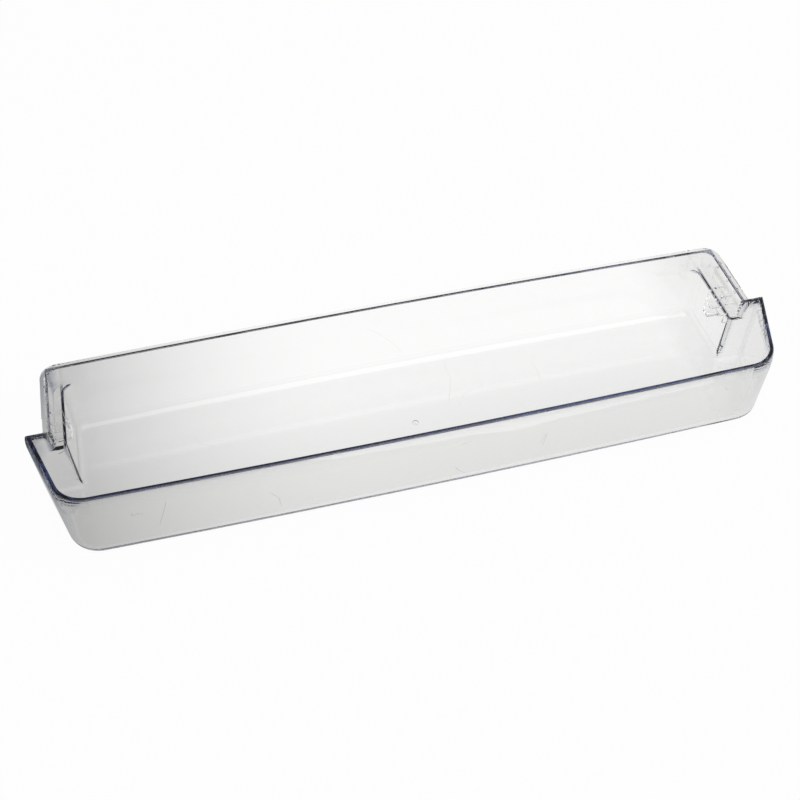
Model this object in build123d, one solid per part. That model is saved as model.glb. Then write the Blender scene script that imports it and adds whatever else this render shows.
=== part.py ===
"""Fridge door shelf: one clear moulding, a tray with a stepped rear half and a wider, winged front half."""
import os
from math import atan, degrees, radians, sqrt, tan

from build123d import *

# Overall sizes in millimetres; the underside rests on z = 0 and the front faces -Y
height = 55.0
wall = 2.4
floor = 2.5
draft = 0.6

# Front half: plan of the outer face at the rim
wing_reach = 14.6
tip_y = 1.3
wing_slope = 0.32
front_y = -56.6
front_bow = 2.4
front_corner = 20.5

# Front half: the outer face curves out from the rim to a knuckle, then drafts in to the floor
knuckle_drop = 11.5
knuckle_out = 1.5
band_steps = 4
outer_draft = 1.4

# Rear half: inner faces of the stepped end walls, and of the bowed rear wall that leans out to the rim;
# the foot of the upper end wall is rounded outside by a share of the wall
upper_half = 222.8
end_wall = 1.8
ledge_width = 6.3
ledge_drop = 14.8
under_share = 0.8
ledge_corner = 4.4
upper_corner = 4.6
rear_y = 54.4
rear_bow = 2.7
rear_lean = 0.085
rear_corner = 6.4

# Flange round the rim of the rear half, narrower over its front end
flange_thick = 2.0
flange_end = 2.3
flange_rear = 1.3
flange_step_y = 12.9
flange_step = 0.3

# Pockets under the end ledges, open outwards, that hold the shelf on the lugs of a door
pocket_rear_y = 31.7
pocket_length = 11.5
pocket_lean = 0.185
pocket_depth = 8.4
pocket_wall = 1.8
pocket_drop = 36.6
web_drop = 26.2

# Ribs on the outside of the end walls, under the ledges and, shorter, under the flange
ledge_rib_rows = (7.2, 14.0)
ledge_rib_drop = 9.0
flange_rib_rows = (13.2, 24.6, 39.0)
flange_rib_drop = 2.5
rib_thick = 1.4
rib_setback = 1.2

# Rounded edges, and the moulding gate in a dimple under the floor
floor_fillet = 4.5
foot_fillet = 6.4
front_round = 1.0
rim_bevel = 0.35
gate_y = -3.4
gate_diameter = 4.0
gate_depth = 0.7
gate_pip = 1.4

# Sizes that follow from the ones above
knuckle_z = height - knuckle_drop
ledge_z = height - ledge_drop
pocket_z = height - pocket_drop
web_z = height - web_drop
lower_half = upper_half - ledge_width
pocket_face = lower_half + end_wall
ledge_under = under_share * wall
tip_half = upper_half + wing_reach
corner_half = tip_half - wing_slope * (tip_y - front_y)
front_radius = (corner_half**2 + front_bow**2) / (2 * front_bow)
rear_radius = (upper_half**2 + rear_bow**2) / (2 * rear_bow)
reach = tip_half
near = 0.01
touch = 0.0001
rearwards = (Align.CENTER, Align.MIN)


def upright(edges):
    """The edges that run up and down."""
    return [e for e in edges if abs(e.tangent_at(0.5).Z) > 0.9]


def front_outline(grow, neck=None):
    """Plan of the front half moved outwards by grow, with a neck of half width neck running far back."""
    slant = sqrt(1 + wing_slope**2)
    tip = (tip_half + grow * (wing_slope + slant), tip_y + grow)
    nose = (tip[0] - wing_slope * reach, tip[1] - reach)
    right = [nose, tip]
    if neck:
        right += [(neck, tip[1]), (neck, reach)]
    left = [(-x, y) for x, y in reversed(right)]
    bow = Pos(0, front_y + front_radius) * Circle(front_radius + grow)
    plan = make_face(Polyline(*right, *left, close=True)) & bow
    return fillet(plan.vertices().group_by(Axis.Y)[0], front_corner + grow)


def tray_plan(grow, neck, bend):
    """Inside plan of the tray, with a bend into the rear half, and no rear wall yet."""
    plan = front_outline(grow, neck)
    return fillet([v for v in plan.vertices() if abs(abs(v.X) - neck) < near and v.Y < rear_y], bend)


def cut_back(solid, grow):
    """Trims a solid to the bowed, leaning rear wall and rounds the two rear corners."""
    bow = Pos(0, rear_y - rear_radius, height) * Circle(rear_radius + grow * sqrt(1 + rear_lean**2))
    solid &= extrude(bow, -height, taper=degrees(atan(rear_lean)))
    behind = rear_y - rear_bow - rear_lean * height - rear_corner
    return fillet([e for e in upright(solid.edges()) if (e @ 0.5).Y > behind], rear_corner + grow)


def end_block(x0, x1, y, thick, z0, z1):
    """A block at the right-hand end, from x0 to x1 and z0 to z1, centred on y."""
    return Pos((x0 + x1) / 2, y, (z0 + z1) / 2) * Box(x1 - x0, thick, z1 - z0)


def pocket_block(inset, x0, x1, z0, z1):
    """A block of the right-hand pocket's outline, moved in by inset, from x0 to x1 and z0 to z1."""
    rear = pocket_rear_y - inset
    front = [pocket_rear_y - pocket_length + pocket_lean * (ledge_z - z) + inset for z in (z0, z1)]
    outline = Polyline((rear, z0), (rear, z1), (front[1], z1), (front[0], z0), close=True)
    return extrude(Plane.YZ.offset(x0) * make_face(outline), x1 - x0)


def both_ends(shape):
    """A shape at the right-hand end together with its mirror image."""
    return [shape, mirror(shape, Plane.YZ)]


# Outer body of the front half: a curved band lofted from the knuckle to the rim, on a drafted block
sections = []
for step in range(band_steps + 1):
    rise = step / band_steps
    sections.append(Pos(0, 0, knuckle_z + knuckle_drop * rise) * front_outline(knuckle_out * (1 - rise**2)))
body = loft(sections)
body = body.fuse(extrude(sections[0], -knuckle_z, taper=outer_draft), tol=touch)

# Outer body of the rear half, one block for each level, the upper one rounded underneath
levels = []
for half, top, drop in ((upper_half + wall, height, ledge_drop + wall), (pocket_face, ledge_z, ledge_z)):
    level = Pos(0, 0, top) * Rectangle(2 * half, reach, align=rearwards)
    levels.append(cut_back(extrude(level, -drop, taper=draft), wall))
under = levels[0].faces().sort_by(Axis.Z)[0].edges()
levels[0] = fillet([e for e in under if (e @ 0.5).Y > near], ledge_under)
body += levels

# Rounded underside
body = fillet(body.faces().sort_by(Axis.Z)[0].edges(), foot_fillet)

# Flange, whose front end is a little narrower
flange_half = upper_half + wall + flange_end
flange = Pos(0, flange_step_y) * Rectangle(2 * flange_half, reach, align=rearwards)
flange &= Pos(0, rear_y - rear_radius) * Circle(rear_radius + wall + flange_rear)
flange = fillet(flange.vertices().group_by(Axis.Y)[-1], rear_corner + wall + flange_rear)
front_half = flange_half - flange_step
flange += Pos(0, tip_y) * Rectangle(2 * front_half, flange_step_y - tip_y, align=rearwards)
body += extrude(Pos(0, 0, height) * flange, -flange_thick)

# Hanging pockets and ribs, each rooted halfway into the wall that it stands on
pocket_out = pocket_face + pocket_depth
end_root = lower_half + end_wall / 2
ledge_root = ledge_z - wall / 2
pocket = pocket_block(0, end_root, pocket_out, pocket_z, ledge_root)
pocket -= pocket_block(pocket_wall, pocket_face, pocket_out, pocket_z + pocket_wall, web_z - pocket_wall)
pocket -= pocket_block(pocket_wall, pocket_face, pocket_out, web_z, ledge_z - wall)
body += both_ends(pocket)
rib_z = ledge_root - ledge_rib_drop
upper_root = upper_half + wall / 2
for row in ledge_rib_rows:
    body += both_ends(end_block(end_root, upper_root, row, rib_thick, rib_z, ledge_root))
flange_root = height - flange_thick / 2
rib_z = height - flange_thick - flange_rib_drop
for row in flange_rib_rows:
    body += both_ends(end_block(upper_root, front_half - rib_setback, row, rib_thick, rib_z, flange_root))

# Inside of the tray, one block for each level
shrink = -wall - ledge_drop * tan(radians(draft))
rim_plan = Pos(0, 0, height) * tray_plan(-wall, upper_half, upper_corner)
ledge_plan = Pos(0, 0, ledge_z) * tray_plan(shrink, lower_half, ledge_corner)
upper = extrude(rim_plan, -ledge_drop, taper=draft)
lower = cut_back(extrude(ledge_plan, floor - ledge_z, taper=draft), 0)
lower = fillet(lower.faces().sort_by(Axis.Z)[0].edges(), floor_fillet)
shelf = body - cut_back(upper, 0) - lower

# Rim: a full rounding along the outside of the front half, and a bevel all round the inside
rim = shelf.faces().sort_by(Axis.Z)[-1]
front_rim = [e for e in rim.outer_wire().edges() if (e @ 0.5).Y < tip_y - near]
shelf = fillet(front_rim, front_round)
rim = shelf.faces().sort_by(Axis.Z)[-1]
shelf = chamfer(rim.inner_wires()[0].edges(), rim_bevel)

# Moulding gate: a dimple with the stub of the sprue left in it
from_below = (Align.CENTER, Align.CENTER, Align.MIN)
shelf -= Pos(0, gate_y) * Cylinder(gate_diameter / 2, gate_depth, align=from_below)
shelf += Pos(0, gate_y, gate_depth / 2) * Cylinder(gate_pip / 2, gate_depth, align=from_below)

os.makedirs("parts", exist_ok=True)
export_step(shelf, "parts/door_shelf.step")
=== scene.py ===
import math

import bpy
from mathutils import Euler, Matrix, Vector

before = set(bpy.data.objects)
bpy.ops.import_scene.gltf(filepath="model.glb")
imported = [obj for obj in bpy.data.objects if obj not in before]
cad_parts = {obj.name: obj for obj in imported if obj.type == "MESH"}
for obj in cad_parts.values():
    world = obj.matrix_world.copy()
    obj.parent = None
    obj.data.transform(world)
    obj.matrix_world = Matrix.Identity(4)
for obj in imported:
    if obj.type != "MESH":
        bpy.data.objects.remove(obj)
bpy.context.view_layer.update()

# Door shelf: one injection moulding that hangs on the inside of a refrigerator's door.
# It is clear polystyrene from a polished mould, so its walls show only where they bend, end or are scuffed.
# All of its shape comes from the frame; the material below adds the painted shade of its rims, a painted
# reflection on its left wing, and the wear.


def linear(hex_colour):
    """An sRGB hex colour as linear RGBA."""
    parts = [int(hex_colour[i : i + 2], 16) / 255 for i in (1, 3, 5)]
    return (*[c / 12.92 if c <= 0.04045 else ((c + 0.055) / 1.055) ** 2.4 for c in parts], 1.0)


def add(tree, kind, settings=(), **links):
    """Adds a node, sets its properties, or its inputs by name or number, and links outputs to inputs."""
    node = tree.nodes.new("ShaderNode" + kind)
    for name, value in dict(settings).items():
        if not isinstance(name, int) and name not in node.inputs:
            setattr(node, name, value)
        elif isinstance(value, bpy.types.NodeSocket):
            tree.links.new(value, node.inputs[name])
        else:
            node.inputs[name].default_value = value
    for name, output in links.items():
        tree.links.new(output, node.inputs[name.replace("_", " ")])
    return node


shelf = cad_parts["door_shelf"]
plastic = bpy.data.materials.new("clear_moulded_polystyrene")
plastic.use_nodes = True
tree = plastic.node_tree
tree.nodes.clear()
place = add(tree, "TexCoord")
at = add(tree, "SeparateXYZ", Vector=place.outputs["Object"])
x, y, z = at.outputs

# Rims: clear polystyrene is colourless through one wall; the dark navy of its rims, where light runs along
# inside a wall, is painted shade in the base colour. It is painted on the rounded rim of the front half, on
# the top of the rear half's walls beside the flange, and on the brink of each ledge, over the lower end wall.
rim_z = 0.055
rim_edge = 0.0013
front_half_y = 0.0025
rear_half_x = 0.2228
rear_half_y = 0.0544
rear_radius = 9.194
ledge_z = 0.0402
ledge_half_x = 0.2165
end_wall = 0.0018
top_inner = 0.0011
top_outer = 0.0017
top_share = 0.85
brink_share = 0.8
face_gap = 0.0003
front = add(tree, "MapRange", {"From Min": front_half_y, "From Max": 0.0}, Value=y).outputs[0]
rim_ends = {"From Min": rim_z - rim_edge, "From Max": rim_z - 0.0001}
front_top = add(tree, "MapRange", rim_ends, Value=z).outputs[0]
front_rim = add(tree, "Math", {"operation": "MULTIPLY", 0: front_top, 1: front}).outputs[0]
off_middle = add(tree, "Math", {"operation": "ABSOLUTE", 0: x}).outputs[0]
past_end = add(tree, "Math", {"operation": "SUBTRACT", 0: off_middle, 1: rear_half_x}).outputs[0]
squared = add(tree, "Math", {"operation": "MULTIPLY", 0: x, 1: x}).outputs[0]
rear_bend = 0.5 / rear_radius
unbowed = add(tree, "Math", {"operation": "MULTIPLY_ADD", 0: squared, 1: rear_bend, 2: y}).outputs[0]
past_rear = add(tree, "Math", {"operation": "SUBTRACT", 0: unbowed, 1: rear_half_y}).outputs[0]
past = add(tree, "Math", {"operation": "MAXIMUM", 0: past_end, 1: past_rear}).outputs[0]
top_ends = {"From Min": top_outer, "From Max": top_inner, "To Max": top_share}
wall_top = add(tree, "MapRange", top_ends, Value=past).outputs[0]
rear = add(tree, "Math", {"operation": "SUBTRACT", 0: 1.0, 1: front}).outputs[0]
rim_ends = {"From Min": rim_z - 0.0005, "From Max": rim_z - 0.0003}
rear_top = add(tree, "MapRange", rim_ends, Value=z).outputs[0]
rear_share = add(tree, "Math", {"operation": "MULTIPLY", 0: wall_top, 1: rear}).outputs[0]
rear_rim = add(tree, "Math", {"operation": "MULTIPLY", 0: rear_share, 1: rear_top}).outputs[0]
on_ledge = add(tree, "Math", {"operation": "COMPARE", 0: z, 1: ledge_z, 2: face_gap}).outputs[0]
half = end_wall / 2
brink_mid = ledge_half_x + half
over_wall = add(tree, "Math", {"operation": "COMPARE", 0: off_middle, 1: brink_mid, 2: half}).outputs[0]
over_rear = add(tree, "Math", {"operation": "MULTIPLY", 0: over_wall, 1: rear}).outputs[0]
brink = add(tree, "Math", {"operation": "MULTIPLY", 0: over_rear, 1: on_ledge}).outputs[0]
# The dark line on each ledge's brink is painted shade too.
painted_brink_shade = add(tree, "Math", {"operation": "MULTIPLY", 0: brink, 1: brink_share}).outputs[0]
painted_rear_shade = add(tree, "Math", {"operation": "MAXIMUM", 0: rear_rim, 1: painted_brink_shade}).outputs[0]
painted_rim_shade = add(tree, "Math", {"operation": "MAXIMUM", 0: front_rim, 1: painted_rear_shade}).outputs[0]

# Seen nearly edge on, the outside of the left wing is painted slate blue too, a painted reflection of the dim
# left, most of all just under its rim.
facing = add(tree, "LayerWeight", {"Blend": 0.5}).outputs["Facing"]
grazed = add(tree, "MapRange", {"From Min": 0.65, "From Max": 0.92}, Value=facing).outputs[0]
left_end = add(tree, "MapRange", {"From Min": -0.195, "From Max": -0.215}, Value=x).outputs[0]
upper = add(tree, "MapRange", {"From Min": 0.005, "From Max": 0.045, "To Min": 0.25}, Value=z).outputs[0]
wing = add(tree, "Math", {"operation": "MULTIPLY", 0: left_end, 1: front}).outputs[0]
wing_top = add(tree, "Math", {"operation": "MULTIPLY", 0: wing, 1: upper}).outputs[0]
painted_left_reflection = add(tree, "Math", {"operation": "MULTIPLY", 0: wing_top, 1: grazed}).outputs[0]

# Wear: scratches and specks, each a line of points in millimetres on the face that it lies on, and the rough
# ring of the moulding gate under the floor. Real scratches are finer; these are coarser so that they show.
front_marks = (
    ((-183.3, 37.2), (-184.0, 35.3), (-182.7, 34.3), (-180.2, 35.6), (-178.8, 34.0), (-177.3, 34.0)),
    ((-163.1, 41.6), (-166.7, 30.3), (-170.0, 20.8)),
    ((-103.0, 30.4), (-98.8, 23.7), (-98.0, 14.8)),
    ((10.8, 18.9), (13.6, 14.2), (17.7, 10.1)),
    ((14.2, 40.9), (17.9, 41.1)),
    ((19.1, 42.2), (20.4, 41.8)),
    ((65.7, 25.4), (68.4, 33.7)),
    ((67.3, 22.8), (69.3, 33.9)),
    ((186.1, 43.3), (187.6, 40.4), (189.7, 38.9)),
    ((23.9, 20.2), (24.8, 20.4)),
    ((-18.6, 22.5), (-17.4, 23.7)),
    ((-83.3, 10.2), (-82.6, 10.5)),
)
floor_marks = (
    ((35.8, 7.6), (37.2, 12.3), (42.5, 13.7), (48.0, 15.6), (52.2, 15.4)),
    ((32.8, 45.1), (32.0, 35.7), (33.3, 27.8), (29.6, 17.5), (26.0, 7.4)),
    ((91.2, 27.2), (92.4, 19.2), (91.4, 9.1)),
    ((30.9, 2.6), (33.8, 5.4)),
    ((-143.0, 20.3), (-139.9, 13.9), (-130.9, 8.2)),
    ((-108.9, 20.6), (-108.0, 20.5)),
    ((-135.7, 18.7), (-134.4, 18.5)),
    ((-168.7, 0.0), (-167.8, 0.2)),
    ((55.7, -5.0), (56.4, -4.9)),
    ((200.1, 22.2), (200.8, 22.2)),
)
rear_marks = (
    ((-18.0, 38.3), (-10.1, 31.5), (-2.8, 23.1), (4.7, 12.7)),
    ((75.4, 5.7), (76.5, 5.9)),
)
mark_half = 0.0003
floor_z = 0.0025
front_outer_y = -0.056
front_radius = 9.983
rear_lean = 0.085
gate_y = -0.0034
gate_radius = 0.002
gate_depth = 0.0008
ring_half = 0.00015
front_share = 0.65
inside_share = 0.22
ring_share = 0.6


def drawn(across, up, lines, face):
    """A mask of lines on a face, whose own coordinates are across and up."""
    point = add(tree, "CombineXYZ", X=across, Y=up).outputs[0]
    nearest = 1.0
    for line in lines:
        for start, end in zip(line, line[1:]):
            start = Vector((*start, 0)) / 1000
            run = Vector((*end, 0)) / 1000 - start
            offset = add(tree, "VectorMath", {"operation": "SUBTRACT", 0: point, 1: start}).outputs[0]
            share = run / run.length_squared
            along = add(tree, "VectorMath", {"operation": "DOT_PRODUCT", 0: offset, 1: share})
            held = add(tree, "Clamp", Value=along.outputs["Value"]).outputs[0]
            foot = add(tree, "VectorMath", {"operation": "SCALE", 0: run, "Scale": held}).outputs[0]
            gap = add(tree, "VectorMath", {"operation": "DISTANCE", 0: offset, 1: foot}).outputs["Value"]
            nearest = add(tree, "Math", {"operation": "MINIMUM", 0: gap, 1: nearest}).outputs[0]
    mask = add(tree, "MapRange", {"From Min": mark_half, "From Max": mark_half / 2}, Value=nearest)
    return add(tree, "Math", {"operation": "MULTIPLY", 0: mask.outputs[0], 1: face}).outputs[0]


front_bend = -0.5 / front_radius
curve = add(tree, "Math", {"operation": "MULTIPLY_ADD", 0: squared, 1: front_bend, 2: y}).outputs[0]
front_face = add(tree, "Math", {"operation": "LESS_THAN", 0: curve, 1: front_outer_y}).outputs[0]
floor_face = add(tree, "Math", {"operation": "COMPARE", 0: z, 1: floor_z, 2: face_gap}).outputs[0]
lean = add(tree, "Math", {"operation": "MULTIPLY_ADD", 0: z, 1: -rear_lean, 2: past_rear}).outputs[0]
rear_face = add(tree, "Math", {"operation": "COMPARE", 0: lean, 1: -rear_lean * rim_z, 2: 0.001}).outputs[0]
on_front = drawn(x, z, front_marks, front_face)
on_floor = drawn(x, y, floor_marks, floor_face)
on_rear = drawn(x, z, rear_marks, rear_face)
inside = add(tree, "Math", {"operation": "MAXIMUM", 0: on_floor, 1: on_rear}).outputs[0]
faint = add(tree, "Math", {"operation": "MULTIPLY", 0: inside, 1: inside_share}).outputs[0]
scratches = add(tree, "Math", {"operation": "MULTIPLY_ADD", 0: on_front, 1: front_share, 2: faint}).outputs[0]
plan = add(tree, "CombineXYZ", X=x, Y=y).outputs[0]
to_gate = add(tree, "VectorMath", {"operation": "DISTANCE", 0: plan, 1: (0, gate_y, 0)}).outputs["Value"]
near_ring = add(tree, "Math", {"operation": "COMPARE", 0: to_gate, 1: gate_radius, 2: ring_half}).outputs[0]
below = add(tree, "Math", {"operation": "LESS_THAN", 0: z, 1: gate_depth}).outputs[0]
ring = add(tree, "Math", {"operation": "MULTIPLY", 0: near_ring, 1: below}).outputs[0]
marks = add(tree, "Math", {"operation": "MULTIPLY_ADD", 0: ring, 1: ring_share, 2: scratches}).outputs[0]

# Clear polystyrene with a moulder's polish: bright and sharp, slightly wavy over a few centimetres, dull
# where the underside has slid on other things, and grey along its scratches.
# The navy of the rims is painted shade, painted paler towards the right, where the light comes from.
painted_light_from_right = add(tree, "MapRange", {"From Min": -0.15, "From Max": 0.1}, Value=x)
painted_navy_shade = add(tree, "MixRGB", {"Color1": linear("#0C1440"), "Color2": linear("#2C3866")}, Fac=painted_light_from_right.outputs[0])
# The slate blue of the left wing is a painted reflection of the dim room to the left.
with_painted_reflection = add(tree, "MixRGB", {"Color1": linear("#FEFEFD"), "Color2": linear("#3A5076")}, Fac=painted_left_reflection)
with_painted_shade = add(tree, "MixRGB", Fac=painted_rim_shade, Color1=with_painted_reflection.outputs[0], Color2=painted_navy_shade.outputs[0])
scratched = add(tree, "MixRGB", {"Color2": linear("#BAB8B5")}, Fac=marks, Color1=with_painted_shade.outputs[0])
worn = add(tree, "MapRange", {"From Min": 0.0012, "From Max": 0.0003, "To Max": 0.06}, Value=z)
rough = add(tree, "Math", {"operation": "MULTIPLY_ADD", 0: marks, 1: 0.3, 2: worn.outputs[0]})
wave_length = 0.022
waves = add(tree, "TexNoise", {"Scale": 1 / wave_length, "Detail": 1.0}, Vector=place.outputs["Object"])
bump = add(tree, "Bump", {"Strength": 0.5, "Distance": 0.00005}, Height=waves.outputs["Fac"])
surface = add(
    tree,
    "BsdfPrincipled",
    {"IOR": 1.59, "Transmission Weight": 1.0},
    Base_Color=scratched.outputs[0],
    Roughness=rough.outputs[0],
    Normal=bump.outputs[0],
)
tint = add(tree, "VolumeAbsorption", {"Color": linear("#A8ACC0"), "Density": 6.0})
add(tree, "OutputMaterial", Surface=surface.outputs["BSDF"], Volume=tint.outputs["Volume"])
shelf.data.materials.clear()
shelf.data.materials.append(plastic)

# Floor: a plain sweep of white paper under the shelf. The camera sees it white; in the clear walls it has
# painted shade, dimmer towards the front and both ends, most of all past the left end, where the painted
# shade is slate blue.
floor_half = 6.0
floor_gap = 0.0004
floor_mesh = bpy.data.meshes.new("paper_floor")
corners = [(-1, -1), (1, -1), (1, 1), (-1, 1)]
points = [(floor_half * right, floor_half * back, -floor_gap) for right, back in corners]
floor_mesh.from_pydata(points, [], [(0, 1, 2, 3)])
floor = bpy.data.objects.new("paper_floor", floor_mesh)
bpy.context.scene.collection.objects.link(floor)
paper = bpy.data.materials.new("white_paper")
paper.use_nodes = True
tree = paper.node_tree
tree.nodes.clear()
place = add(tree, "TexCoord")
at = add(tree, "SeparateXYZ", Vector=place.outputs["Object"])
# Painted shade on the floor, seen only through the walls: dimmer to the left, right and front.
left = add(tree, "MapRange", {"From Min": -0.03, "From Max": -0.225}, Value=at.outputs["X"])
falling = add(tree, "Math", {"operation": "POWER", 0: left.outputs[0], 1: 2.0})
to_left = add(tree, "MapRange", {"To Min": 1.0, "To Max": 0.55}, Value=falling.outputs[0])
across = add(tree, "Math", {"operation": "MULTIPLY_ADD", 0: at.outputs["Y"], 1: -0.15, 2: at.outputs["X"]})
painted_slate_mask = add(tree, "MapRange", {"From Min": -0.242, "From Max": -0.275}, Value=across.outputs[0])
past_left = add(tree, "MapRange", {"To Min": 1.0, "To Max": 0.12}, Value=painted_slate_mask.outputs[0])
right_fall = {"From Min": 0.19, "From Max": 0.38, "To Min": 1.0, "To Max": 0.5}
to_right = add(tree, "MapRange", right_fall, Value=at.outputs["X"])
front_fall = {"From Min": 0.03, "From Max": -0.3, "To Min": 1.0, "To Max": 0.35}
to_front = add(tree, "MapRange", front_fall, Value=at.outputs["Y"])
both = add(tree, "Math", {"operation": "MULTIPLY", 0: to_left.outputs[0], 1: past_left.outputs[0]})
sides = add(tree, "Math", {"operation": "MULTIPLY", 0: both.outputs[0], 1: to_right.outputs[0]})
painted_floor_shade = add(tree, "Math", {"operation": "MULTIPLY", 0: sides.outputs[0], 1: to_front.outputs[0]})
path = add(tree, "LightPath")
direct = path.outputs["Is Camera Ray"]
mirrored = path.outputs["Is Glossy Ray"]
through = path.outputs["Is Transmission Ray"]
strength = add(tree, "Math", {"operation": "MAXIMUM", 0: painted_floor_shade.outputs[0], 1: direct})
# Past the left end, the floor's painted shade is slate blue.
painted_slate_shade = add(tree, "MixRGB", {"Color1": linear("#FFFFFF"), "Color2": linear("#8CA6CB")}, Fac=painted_slate_mask.outputs[0])
white = add(tree, "MixRGB", {"Color2": linear("#FFFFFF")}, Fac=direct, Color1=painted_slate_shade.outputs[0])
matt = add(tree, "BsdfDiffuse", {"Color": linear("#F4F4F4")})
glow = add(tree, "Emission", Color=white.outputs[0], Strength=strength.outputs[0])
seen = add(tree, "Math", {"operation": "MAXIMUM", 0: direct, 1: mirrored})
shown = add(tree, "Math", {"operation": "MAXIMUM", 0: seen.outputs[0], 1: through})
share = add(tree, "Math", {"operation": "MULTIPLY", 0: shown.outputs[0], 1: 0.96})
mix = add(tree, "MixShader", {0: share.outputs[0], 1: matt.outputs[0], 2: glow.outputs[0]})
add(tree, "OutputMaterial", Surface=mix.outputs[0])
floor_mesh.materials.append(paper)

# Studio: a pale room, white up to the horizon, dim overhead and to the left, with one wide softbox above.
# The softbox draws the pale streak along the rounded foot of the rear wall.
world = bpy.data.worlds.new("studio")
bpy.context.scene.world = world
world.use_nodes = True
tree = world.node_tree
tree.nodes.clear()
place = add(tree, "TexCoord")
at = add(tree, "SeparateXYZ", Vector=place.outputs["Generated"])
upward = {"From Min": 0.1, "From Max": 0.6, "To Min": 1.0, "To Max": 0.35}
height = add(tree, "MapRange", upward, Value=at.outputs["Z"])
rightward = {"From Min": -0.7, "From Max": 0.15, "To Min": 0.25, "To Max": 1.0}
side = add(tree, "MapRange", rightward, Value=at.outputs["X"])
level = add(tree, "Math", {"operation": "MULTIPLY", 0: height.outputs[0], 1: side.outputs[0]})
sky = add(tree, "Background", {"Color": linear("#FFFFFF")}, Strength=level.outputs[0])
add(tree, "OutputWorld", Surface=sky.outputs[0])
lamp_data = bpy.data.lights.new("softbox", "AREA")
lamp_data.energy = 42.0
lamp_data.size = 3.6
lamp = bpy.data.objects.new("softbox", lamp_data)
lamp.location = (0.5, -0.7, 2.1)
lamp.rotation_euler = lamp.location.to_track_quat("Z", "Y").to_euler()
bpy.context.scene.collection.objects.link(lamp)

# Camera: the photograph's own view, from the front and a little to the left.
view_azimuth = math.radians(-14.116)
view_elevation = math.radians(49.419)
view_roll = math.radians(-0.205)
camera_data = bpy.data.cameras.new("camera")
camera_data.sensor_width = 36.0
camera_data.lens = 48.757
camera = bpy.data.objects.new("camera", camera_data)
turn = Euler((math.pi / 2 - view_elevation, 0, view_azimuth)).to_matrix()
turn = turn @ Matrix.Rotation(view_roll, 3, "Z")
camera.matrix_world = Matrix.Translation((-0.1204, -0.4405, 0.5536)) @ turn.to_4x4()
bpy.context.scene.collection.objects.link(camera)
bpy.context.scene.camera = camera
bpy.context.scene.view_settings.view_transform = "Standard"

# Light runs far inside the clear walls before it leaves them, so its paths may be long.
bpy.context.scene.cycles.max_bounces = 32
bpy.context.scene.cycles.glossy_bounces = 32
bpy.context.scene.cycles.transmission_bounces = 32
